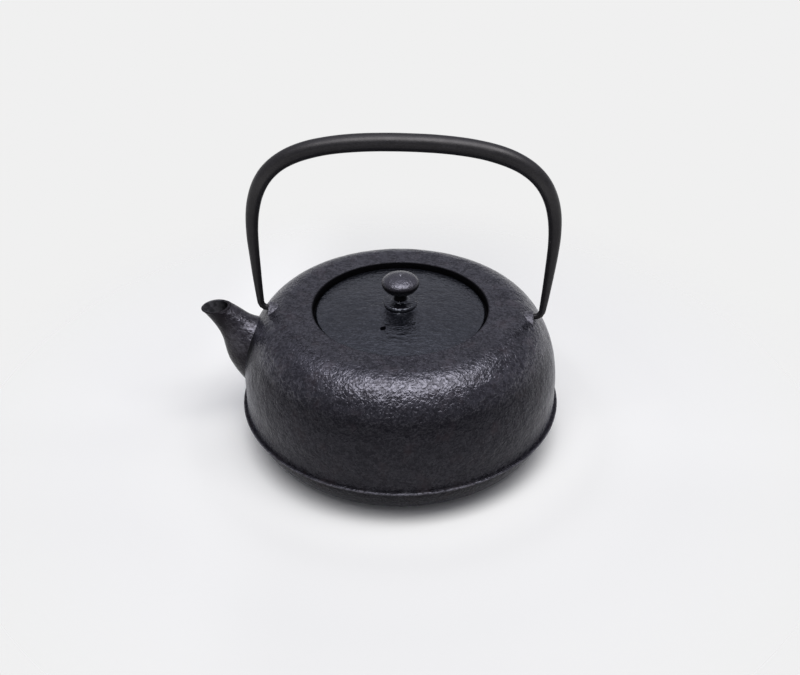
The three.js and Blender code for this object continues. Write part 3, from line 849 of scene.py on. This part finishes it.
def body_section(body):
    """The body's section from the middle of its base, up the outside, into the opening and back
    along the inside, with the skin's depth at each point as a share, and with the number of
    points on the outside."""
    section, depths = [], []

    def add(points, start, end):
        """Add points whose depths run from start to end."""
        for index, point in enumerate(points):
            share = index / max(1, len(points) - 1)
            section.append(Vector(point))
            depths.append(start + (end - start) * share)

    low, top = body.flange_low, body.flange_top
    rim, height = body.flange_radius, body.height
    opening, ledge = body.opening_radius, body.ledge_height
    add([(0, 0), (18 * MM, 0), (36 * MM, 0), (52 * MM, 0), (62 * MM, 0)], 0, 0)
    bowl = quarter((body.base_radius, 0), (body.bowl_radius, low), 26)
    add(bowl[:6], 0, 0.6)
    add(bowl[6:], 0.7, 0.9)
    add([(rim - 2.2 * MM, low), (rim - 1.2 * MM, low)], 0.4, 0.3)
    add(rounded((rim, low), (-0.6 * MM, 0), (0, 0.6 * MM), 4), 0.3, 0.5)
    add(rounded((rim, top), (0, -0.5 * MM), (-0.5 * MM, 0), 6), 0.7, 0.7)
    foot = body.waist_radius
    crease = [(foot + 0.3 * MM, top), (foot + 0.05 * MM, top + 0.1 * MM)]
    add([(rim - 1.1 * MM, top), *crease], 0.3, 0.5)
    add(wall_line(body, 12, 60)[1:], 1, 1)
    for step in range(1, 11):
        share = step / 10
        radius = body.flat_radius + (opening + 0.9 * MM - body.flat_radius) * share
        add([(radius, height)], 1 - 0.4 * share, 1)
    add(rounded((opening, height), (0.8 * MM, 0), (0, -0.8 * MM), 4), 0.5, 0.3)
    add([(opening, height - 2.2 * MM), (opening, height - 4 * MM)], 0.3, 0.2)
    add([(opening, ledge), (opening - 2 * MM, ledge), (body.ledge_radius, ledge)], 0, 0)
    outside = len(section)
    ledge_low = ledge - body.ledge_thickness
    add([(body.ledge_radius, ledge_low), (opening + body.wall, ledge_low)], 0, 0)
    add([(opening + 2 * body.wall, height - body.wall)], 0, 0)
    add(offset(curved(shoulder_anchors(body), 16), -body.wall)[::-1], 0.2, 0.5)
    add([(body.belly_radius - body.wall, top)], 0.3, 0.3)
    base = body.base_thickness
    bowl = quarter((body.base_radius - body.wall, base), (body.bowl_radius - body.wall, low), 10)
    add(bowl[::-1], 0.3, 0.3)
    add([(50 * MM, base), (25 * MM, base), (0, base)], 0.2, 0.2)
    return section, depths, outside


def wall_core(body, depth):
    """The body's outside as a full solid, drawn in by a depth. It trims what is set on the body."""
    line = offset(wall_line(body, 4, 30), -depth)
    low = 8 * MM
    section = [(0, low), (line[0].x, low), *line, (0, body.height - depth)]
    return turned("wall_core", section, 180)


def spout_ring(body, spout, along, inset, sunk=0.0, shift=0.0):
    """A ring of the spout a share of the way from root to mouth, drawn in by an inset, sunk below
    its place and shifted along +X."""
    mouth = Vector((-body.belly_radius - spout.mouth_reach, body.height - spout.mouth_drop))
    tilt = Vector((math.cos(spout.mouth_tilt), math.sin(spout.mouth_tilt)))
    outer_lip = mouth - tilt * spout.mouth_half_length
    inner_lip = mouth + tilt * spout.mouth_half_length
    root = Vector((-body.waist_radius, spout.root_low))
    pulls = [pulled(root, *LOW_ROOT_PULL), pulled(outer_lip, *LOW_LIP_PULL)]
    low = bezier([root, *pulls, outer_lip], along)
    height = spout.root_high
    root = Vector((spout.root_depth - shoulder_radius(body, height), height))
    pulls = [pulled(root, *HIGH_ROOT_PULL), pulled(inner_lip, *HIGH_LIP_PULL)]
    high = bezier([root, *pulls, inner_lip], along)
    middle, half = (low + high) / 2, (high - low) / 2
    spread = (spout.root_half_width - spout.mouth_half_width) * (1 - along) ** SPOUT_TAPER
    turn = math.atan2(half.y, half.x)
    middle = middle - Vector((-math.sin(turn), math.cos(turn))) * sunk
    half_width = spout.mouth_half_width + spread - inset
    return Ring(middle.x + shift, middle.y, half.length - inset, half_width, turn)


def pulled(point, distance, degrees):
    """A point at a distance from another, in a direction above the +X axis."""
    turn = math.radians(degrees)
    return point + Vector((math.cos(turn), math.sin(turn))) * distance


class KETTLE_OT_body(Operator):
    """Cast the body: bowl, flange, wall, shoulder, flat top and the lid's seat"""

    bl_idname = "kettle.body"
    bl_label = "Body casting"

    def execute(self, context):
        kettle = context.scene.kettle
        body, spout = kettle.body, kettle.spout
        section, depths, outside = body_section(body)
        piece = turned("body_casting", section, body.steps)
        nearest = skin_group(piece, section, depths)
        for polygon in piece.data.polygons:
            polygon.material_index = int(min(nearest[v] for v in polygon.vertices) >= outside)
        press_lumps(piece, "body_swells", 21 * MM, body.swell_depth, "skin")
        press_lumps(piece, "body_lumps", 5 * MM, body.lump_depth, "skin")
        inset = spout.wall - 0.2 * MM
        rings = [spout_ring(body, spout, 0, inset, shift=9 * MM)]
        rings += [spout_ring(body, spout, step / 10, inset) for step in range(6)]
        cut(piece, tube("spout_bore", rings, spout.sides, "NGON"))
        for side in (1, -1):
            cut(piece, self.dish(body, kettle.ears, side))
        smooth(piece, 42)
        finishes = kettle.finishes
        materials = [cast_skin(finishes, body, spout), inner_iron("inner_iron", finishes.inside)]
        finish_piece(piece, "kettle", ["kettle_body"], materials)
        return {"FINISHED"}

    def dish(self, body, ears, side):
        """A flattened ball that cuts the shallow dish round an ear, on one side."""
        proud = 0.5 * MM  # how far the ball's middle stands out of the shoulder
        step = 0.4 * MM  # the fall over which the shoulder's lean is taken
        run = shoulder_radius(body, ears.seat_height - step) - ears.seat_radius
        lean = math.atan2(step, run)
        outwards = Vector((math.sin(lean), 0, math.cos(lean))) * proud
        along = Vector((math.cos(lean), 0, -math.sin(lean))) * ears.dish_out
        place = Vector((ears.seat_radius, 0, ears.seat_height)) + outwards + along
        return added(
            bpy.ops.mesh.primitive_uv_sphere_add,
            "ear_dish",
            segments=64,
            ring_count=32,
            radius=ears.dish_radius,
            location=(side * place.x, -ears.dish_shift, place.z),
            rotation=(0, side * lean, 0),
            scale=(1, 1, (ears.dish_depth + proud) / ears.dish_radius),
        )


class KETTLE_OT_spout(Operator):
    """Cast the spout: a curved, tapering tube with a rounded lip, set against the wall"""

    bl_idname = "kettle.spout"
    bl_label = "Spout casting"

    def execute(self, context):
        kettle = context.scene.kettle
        body, spout = kettle.body, kettle.spout
        rings = [spout_ring(body, spout, 0, 0, shift=3 * MM)]
        for step in range(spout.steps):
            rings.append(spout_ring(body, spout, step / spout.steps, 0))
        lip = 0.55 * MM  # how far the lip is rounded down at its sides
        for step in range(9):
            turn = step / 8 * math.pi
            inset = (1 - math.cos(turn)) / 2 * spout.wall
            rings.append(spout_ring(body, spout, 1, inset, sunk=lip * (1 - math.sin(turn))))
        inner_steps = spout.steps // 2
        for step in reversed(range(inner_steps)):
            rings.append(spout_ring(body, spout, step / inner_steps, spout.wall))
        rings.append(spout_ring(body, spout, 0, spout.wall, shift=3 * MM))
        piece = tube("spout_casting", rings, spout.sides, "NOTHING")
        middles = [ring.middle for ring in rings]
        for polygon in piece.data.polygons:
            outwards = polygon.center - min(middles, key=lambda m: (m - polygon.center).length)
            polygon.material_index = int(polygon.normal.dot(outwards) < 0)
        press_lumps(piece, "spout_swells", 12 * MM, 0.22 * MM)
        press_lumps(piece, "spout_lumps", 3.2 * MM, 0.12 * MM)
        cut(piece, wall_core(body, 1.3 * MM))
        smooth(piece, 50)
        finishes = kettle.finishes
        materials = [spout_skin(finishes), inner_iron("spout_inside", finishes.mouth, 0.85)]
        finish_piece(piece, "kettle", ["spout"], materials)
        return {"FINISHED"}


class KETTLE_OT_ears(Operator):
    """Model one ear, a rough lug with a pin hole, and set it on both sides"""

    bl_idname = "kettle.ears"
    bl_label = "Ears"

    def execute(self, context):
        kettle = context.scene.kettle
        body, ears = kettle.body, kettle.ears
        middle = Vector((ears.face_radius - ears.thickness / 2, 0, (ears.top + ears.foot) / 2))
        size = (ears.thickness, 2 * ears.foot_half_width, ears.top - ears.foot)
        begin()
        bpy.ops.mesh.primitive_cube_add(size=1, location=middle)
        bpy.ops.transform.resize(value=size)
        piece = settle(bpy.context.active_object, "ear_lug_far_side")
        edit_where(piece, lambda place: place.z > middle.z)
        thin = 0.86  # the top's share of the ear's thickness
        narrow = ears.top_half_width / ears.foot_half_width
        top = (ears.face_radius, 0, ears.top)
        bpy.ops.transform.resize(value=(thin, narrow, 1), center_override=top)
        done()
        edit_where(piece, lambda place: place.z < middle.z and place.x < middle.x)
        bpy.ops.transform.translate(value=(-ears.foot_reach, 0, 0))
        done()
        edit_where(piece, lambda place: place.z > middle.z and place.x < middle.x)
        top_reach = 0.6 * ears.foot_reach
        bpy.ops.transform.translate(value=(-top_reach, 0, -ears.top_slope))
        bpy.ops.mesh.select_all(action="SELECT")
        bpy.ops.mesh.bevel(offset=1.0 * MM, segments=3)
        done()
        apply(piece, "REMESH", mode="VOXEL", voxel_size=0.32 * MM)
        apply(piece, "SMOOTH", factor=0.5, iterations=4)
        press_lumps(piece, "ear_lumps", 2.2 * MM, 0.62 * MM)
        press_lumps(piece, "ear_grain", 0.8 * MM, 0.22 * MM)
        reach = 8 * MM  # of the drill, whose point stands at the hole's end
        hole = added(
            bpy.ops.mesh.primitive_cylinder_add,
            "pin_hole",
            vertices=32,
            radius=ears.hole_radius,
            depth=reach,
            location=(ears.face_radius - ears.hole_depth + reach / 2, 0, ears.pin_height),
            rotation=(0, math.pi / 2, 0),
        )
        cut(piece, hole)
        cut(piece, wall_core(body, 2.3 * MM))
        smooth(piece, 50)
        choose(piece)
        bpy.ops.object.duplicate()
        copy = bpy.context.active_object
        bpy.ops.transform.rotate(value=math.pi, orient_axis="Z", center_override=(0, 0, 0))
        settle(copy, "ear_lug_spout_side")
        skin = ear_skin(kettle.finishes)
        finish_piece(piece, "kettle", ["ear_far_side"], [skin])
        finish_piece(copy, "kettle", ["ear_spout_side"], [skin])
        return {"FINISHED"}


def handle_line(ears, handle):
    """The middle line of the handle from pin to pin, as points of x, z and radius."""
    bend_x = ears.face_radius + handle.hook_run
    bend_z = ears.pin_height + handle.hook_bend
    line = [Vector((ears.face_radius - handle.pin_depth, ears.pin_height, handle.pin_radius))]
    for step in range(13):
        share = step / 12
        turn = share * (math.pi / 2 - handle.leg_lean)
        radius = handle.pin_radius + (handle.leg_radius - handle.pin_radius) * share
        x = bend_x + handle.hook_bend * math.sin(turn)
        line.append(Vector((x, bend_z - handle.hook_bend * math.cos(turn), radius)))
    hook_top = line[-1].xy
    foot_height = ears.pin_height + handle.leg_height
    foot = Vector((bend_x + handle.hook_bend + handle.spread, foot_height))
    crown = Vector((0, foot_height + handle.rise))
    upwards = 90 - math.degrees(handle.leg_lean)
    pulls = [pulled(hook_top, LEG_LOW_PULL, upwards), pulled(foot, LEG_HIGH_PULL, -90)]
    leg = [hook_top, *pulls, foot]
    arch = [foot, pulled(foot, handle.foot_pull, 90), pulled(crown, handle.crown_pull, 0), crown]
    growth = (handle.grip_radius - handle.leg_radius) / (crown.y - handle.grip_drop - hook_top.y)
    for x, z in curved(leg, 24)[1:] + curved(arch, 120)[1:]:
        radius = min(handle.grip_radius, handle.leg_radius + growth * (z - hook_top.y))
        line.append(Vector((x, z, radius)))
    line += [Vector((-x, z, radius)) for x, z, radius in reversed(line[:-1])]
    bow = 0.5  # how much the lean gains below the crown
    for point in line:
        share = (point.y - ears.pin_height) / (crown.y - ears.pin_height)
        point.x += handle.lean * share * (1 + bow * (1 - share))
    return line


class KETTLE_OT_handle(Operator):
    """Draw the bail handle: one bar, thick at the grip, thin at its legs, with inward hooks"""

    bl_idname = "kettle.handle"
    bl_label = "Bail handle"

    def execute(self, context):
        kettle = context.scene.kettle
        handle = kettle.handle
        line = evenly(handle_line(kettle.ears, handle), handle.spacing)
        first, last = line[0], line[-1]
        tip = 0.35 * MM  # the chamfer at each pin's end
        proud = 0.01 * MM
        start = Vector((first.x - proud, first.y, first.z - tip))
        end = Vector((last.x + proud, last.y, last.z - tip))
        first.x += tip
        last.x -= tip
        line = [start, *line, end]
        rings = []
        for index, (x, z, radius) in enumerate(line):
            before, after = line[max(0, index - 1)], line[min(len(line) - 1, index + 1)]
            tilt = math.atan2(before.x - after.x, after.y - before.y)
            if rings and tilt < rings[-1].tilt - math.pi:
                tilt += 2 * math.pi
            rings.append(Ring(x, z, radius, radius, tilt))
        piece = tube("handle_bar", rings, handle.sides, "NGON")
        press_lumps(piece, "bar_swells", 17 * MM, 0.2 * MM)
        smooth(piece, 50)
        materials = [bar_skin(kettle.finishes)]
        finish_piece(piece, "handle", ["bail_handle"], materials)
        return {"FINISHED"}


def dome(lid, start, end, steps, lowered=0.0):
    """Points along the lid's dome between two radii."""
    points = []
    for step in range(steps + 1):
        radius = start + (end - start) * step / steps
        rise = lid.rise * (1 - (radius / lid.radius) ** 2)
        points.append(Vector((radius, lid.edge + rise - lowered)))
    return points


class KETTLE_OT_lid(Operator):
    """Cast the lid plate: a rippled dome with a rounded edge, a skirt below and a vent"""

    bl_idname = "kettle.lid"
    bl_label = "Lid"

    def execute(self, context):
        kettle = context.scene.kettle
        lid = kettle.lid
        rim, edge, under = lid.radius, lid.edge, lid.edge - lid.thickness
        outer, inner, low = lid.skirt_outer, lid.skirt_outer - lid.skirt_wall, lid.skirt_low
        top = lid.edge + lid.rise
        cant = 0.4 * MM  # the chamfer along the skirt's lower edge
        section = dome(lid, lid.tang_hole, inner, 8, lowered=lid.thickness)
        section += [(inner, low + cant), (inner + cant, low), (outer - cant, low)]
        section += [(outer, low + cant), (outer, under)]
        section += rounded((rim, under), (-0.5 * MM, 0), (0, 0.5 * MM), 3)
        plain = len(section)
        crown = dome(lid, rim - 1.1 * MM, lid.collar_radius + 0.3 * MM, 40)
        section += curved([(rim, edge - 1 * MM), (rim, edge), crown[0]], 4)
        rippled = len(section)
        section += crown[1:]
        rippled_end = len(section) - 2
        section += [(lid.collar_radius, top), (5 * MM, top), (lid.tang_hole, top), section[0]]
        depths = [0.0] * len(section)
        for index in range(plain, len(section) - 4):
            depths[index] = 1.0 if rippled <= index < rippled_end else 0.3
        piece = turned("lid_casting", section, lid.steps)
        skin_group(piece, section, depths)
        press_lumps(piece, "lid_swells", 13 * MM, 0.16 * MM, "skin")
        press_lumps(piece, "lid_ripples", 4.6 * MM, 0.09 * MM, "skin")
        vent = added(
            bpy.ops.mesh.primitive_cylinder_add,
            "vent",
            vertices=40,
            radius=lid.vent_radius,
            depth=20 * MM,
            location=(lid.vent_x, lid.vent_y, edge),
        )
        cut(piece, vent)
        smooth(piece, 45)
        materials = [lid_skin(kettle.finishes)]
        finish_piece(piece, "lid", ["lid_plate"], materials)
        return {"FINISHED"}


class KETTLE_OT_knob(Operator):
    """Turn the knob with its neck, tang and rivet head, and the dished collar under it, and give
    the washer its iron"""

    bl_idname = "kettle.knob"
    bl_label = "Knob and collar"

    def execute(self, context):
        kettle = context.scene.kettle
        lid, finishes = kettle.lid, kettle.finishes
        self.turn_knob(lid, finishes)
        self.turn_collar(lid, finishes)
        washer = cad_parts["knob_washer"]
        metal = inner_iron("inner_iron", finishes.inside)
        for slot in washer.material_slots:
            slot.material = metal
        if not washer.material_slots:
            washer.data.materials.append(metal)
        return {"FINISHED"}

    def turn_knob(self, lid, finishes):
        """The knob, from its rivet head below up to the pip that the lathe left on its crown."""
        low, seat, rivet = lid.rivet_low, lid.rivet_top, lid.rivet_radius
        section = [(0, low), (1.3 * MM, low + 0.05 * MM)]
        head = [(2.2 * MM, low + 0.1 * MM), (rivet, low + 0.5 * MM), (rivet, seat - 0.3 * MM)]
        section += curved(head, 6)
        section += [(rivet, seat), (lid.tang_radius, seat)]
        neck, foot = lid.neck_radius, lid.collar_top + 0.3 * MM
        section += [(lid.tang_radius, foot), (neck + 0.25 * MM, foot)]
        section += [(neck + 0.2 * MM, foot + 0.4 * MM)]
        section += [(neck, foot + 1.2 * MM), (neck, foot + 2.4 * MM)]
        lower = 6.6 * MM  # how far the ball reaches below its widest ring
        upper = lid.knob_top - 0.28 * MM - lid.knob_middle
        groove = 1.35 * MM  # the radius of the groove round the pip
        start = math.asin((neck + 0.5 * MM) / lid.knob_radius)
        for step in range(41):
            turn = start + (math.pi - start) * step / 40
            half = lower if math.cos(turn) > 0 else upper
            radius = lid.knob_radius * math.sin(turn)
            if radius < groove and math.cos(turn) < 0:
                break
            section.append((radius, lid.knob_middle - half * math.cos(turn)))
        crown = lid.knob_top - 0.3 * MM
        sunk = crown - 0.12 * MM
        section += [(1.2 * MM, crown), (1.05 * MM, sunk), (0.8 * MM, sunk)]
        section += [(0.62 * MM, crown + 0.06 * MM), (0.4 * MM, crown + 0.24 * MM)]
        section += [(0, lid.knob_top)]
        piece = turned("knob_turned", section, 160)
        press_lumps(piece, "knob_dents", 3.4 * MM, 0.1 * MM)
        smooth(piece, 45)
        skin = knob_skin(finishes, lid.knob_middle)
        finish_piece(piece, "lid", ["lid_knob"], [skin])

    def turn_collar(self, lid, finishes):
        """The collar, with a rounded edge and a shallow dish round the neck."""
        low, top, rim = lid.collar_low, lid.collar_top, lid.collar_radius
        section = [(lid.tang_hole, low), (rim - 0.5 * MM, low), (rim - 0.1 * MM, low + 0.15 * MM)]
        edge = [(rim, low + 0.6 * MM), (rim, low + 1.9 * MM), (rim - 1.3 * MM, low + 2.1 * MM)]
        section += curved(edge, 6)
        dish = [(rim - 1.9 * MM, low + 2.05 * MM), (5.2 * MM, low + 1.9 * MM)]
        section += curved([*dish, (4.4 * MM, top - 0.6 * MM), (3.9 * MM, top)], 8)
        section += [(lid.tang_hole, top), (lid.tang_hole, low)]
        piece = turned("collar_ring", section, 160)
        press_lumps(piece, "collar_dents", 2.6 * MM, 0.08 * MM)
        smooth(piece, 45)
        finish_piece(piece, "lid", ["knob_collar"], [lid_skin(finishes)])


class KETTLE_OT_stage(Operator):
    """Set the pale floor, the soft light from above and the camera"""

    bl_idname = "kettle.stage"
    bl_label = "Stage"

    def execute(self, context):
        finishes = context.scene.kettle.finishes
        self.lay_floor(finishes)
        self.light(context, finishes)
        self.set_camera(context)
        context.scene.view_settings.view_transform = "Standard"
        return {"FINISHED"}

    def lay_floor(self, finishes):
        """A round floor that fades into the backdrop, and shows only from above."""
        disc = {"vertices": 128, "radius": 0.42, "fill_type": "NGON"}
        floor = added(bpy.ops.mesh.primitive_circle_add, "floor", **disc)
        edit(floor)
        bpy.ops.mesh.inset(thickness=0.2)
        done()
        made, mixer, place = material("pale_floor")
        x, y, _ = mixer.parts(place)
        reach = hypotenuse(x, y)
        away = mixer.ramp(reach, 0.15, 0.3)
        # The floor's colour is painted paler, as painted light, to lift the kettle's shadow and the
        # lamp's
        #         # falloff, and a touch darker beyond
        near = mixer.ramp(reach, 0.084, 0.122, 1.2, 1) * mixer.ramp(reach, 0.13, 0.17, 1, 0.975)
        beside = mixer.ramp(x, -0.14, -0.105) * mixer.ramp(y, -0.05, -0.01, 0, 0.06)
        along = mixer.ramp(y, -0.04, 0.01, 0.065, 0.105) * mixer.ramp(y, -0.11, -0.05, 0.6, 1)
        left = mixer.ramp(x, -0.1, -0.04, 1, 0) * (along + beside)
        right = mixer.ramp(x, 0.04, 0.1) * mixer.ramp(y, -0.07, 0, 0.01, 0.05)
        shade = mixer.scaled(finishes.floor, near * (1 + left + right))
        matt = {"Base Color": shade, "Roughness": 0.9, "Specular IOR Level": 0.0}
        lit = mixer.node("ShaderNodeBsdfPrincipled", {}, matt)
        clear = mixer.node("ShaderNodeBsdfTransparent")
        below = mixer.node("ShaderNodeNewGeometry", output="Backfacing")
        mixer.close(mixer.mix(away.most(below), lit, clear))
        floor.data.materials.append(made)

    def light(self, context, finishes):
        """A wide soft box above, a little to the front, in a room that is palest above and at the
        back. The camera sees a plain pale backdrop instead, and so do the lower reflections."""
        begin()
        place, aim = Vector((0.1, -0.23, 0.95)), Vector((0, 0, 0.05))
        bpy.ops.object.light_add(type="AREA", location=place)
        box = context.active_object
        box.name = "soft_box"
        box.rotation_euler = (aim - place).to_track_quat("-Z", "Y").to_euler()
        box.data.shape = "RECTANGLE"
        box.data.size = 1.1
        box.data.size_y = 0.5
        box.data.energy = 6.8
        box.visible_camera = False
        world = bpy.data.worlds.new("studio")
        context.scene.world = world
        world.use_nodes = True
        mixer = Mixer(world.node_tree)
        _, y, z = mixer.parts(mixer.node("ShaderNodeTexCoord", output="Generated"))
        front = mixer.ramp(0 - y, 0.05, 0.8)
        ground = mixer.ramp(front, 0, 1, 0.87, 0.35)
        back = mixer.ramp(y, 0.35, 0.85) * mixer.ramp(z, 0.3, 0.7, 0.06, -0.06)
        glow = mixer.ramp(z, 0.66, 0.95, 0, 0.75)
        room = mixer.ramp(front, 0, 1, 0.37, 0.25) + back + glow
        rising = mixer.ramp(z, -0.04, 0.04)
        level = ground * (1 - rising) + room * rising
        cool = mixer.scaled((0.94, 0.95, 1.06), level)
        camera = mixer.node("ShaderNodeLightPath", output="Is Camera Ray")
        mirror = mixer.node("ShaderNodeLightPath", output="Is Glossy Ray")
        glass = mixer.node("ShaderNodeLightPath", output="Is Transmission Ray")
        seen = camera.most(mirror.most(glass) * (1 - rising))
        tone = mixer.blend(seen, cool, finishes.backdrop)
        shine = mixer.node("ShaderNodeBackground", {}, {"Color": tone, "Strength": 1.0})
        mixer.node("ShaderNodeOutputWorld", {}, {"Surface": shine})

    def set_camera(self, context):
        """The photograph's view."""
        place = (34.25 * MM, -523.63 * MM, 405.63 * MM)
        aim = Vector((-0.22 * MM, 0, 58.5 * MM))
        bpy.ops.object.camera_add(location=place)
        camera = context.active_object
        camera.name = "camera"
        camera.rotation_euler = (aim - camera.location).to_track_quat("-Z", "Y").to_euler()
        camera.data.sensor_width = 36
        camera.data.lens = 50.56
        camera.data.clip_start = 0.01
        camera.data.clip_end = 20
        context.scene.camera = camera


PIECES = (
    KETTLE_OT_body,
    KETTLE_OT_spout,
    KETTLE_OT_ears,
    KETTLE_OT_handle,
    KETTLE_OT_lid,
    KETTLE_OT_knob,
    KETTLE_OT_stage,
)


class KETTLE_PT_panel(Panel):
    """The kettle's pieces and sizes, in the 3D view's sidebar"""

    bl_idname = "KETTLE_PT_panel"
    bl_label = "Cast Iron Kettle"
    bl_space_type = "VIEW_3D"
    bl_region_type = "UI"
    bl_category = "Kettle"

    def draw(self, context):
        layout = self.layout
        for piece in PIECES:
            layout.operator(piece.bl_idname)
        kettle = context.scene.kettle
        for name in ("body", "spout", "ears", "handle", "lid", "finishes"):
            box = layout.box()
            box.label(text=name.capitalize())
            group = getattr(kettle, name)
            for size in group.bl_rna.properties.keys():
                if size not in ("rna_type", "name"):
                    box.prop(group, size)


CLASSES = (
    KettleBody,
    KettleSpout,
    KettleEars,
    KettleHandle,
    KettleLid,
    KettleFinishes,
    KettleSettings,
    *PIECES,
    KETTLE_PT_panel,
)


def register():
    for kind in CLASSES:
        bpy.utils.register_class(kind)
    bpy.types.Scene.kettle = PointerProperty(type=KettleSettings)


def unregister():
    del bpy.types.Scene.kettle
    for kind in reversed(CLASSES):
        bpy.utils.unregister_class(kind)


def main():
    """Build the kettle on the frame."""
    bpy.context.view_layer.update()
    register()
    bpy.ops.kettle.body()
    bpy.ops.kettle.spout()
    bpy.ops.kettle.ears()
    bpy.ops.kettle.handle()
    bpy.ops.kettle.lid()
    bpy.ops.kettle.knob()
    bpy.ops.kettle.stage()


if __name__ == "__main__":
    main()
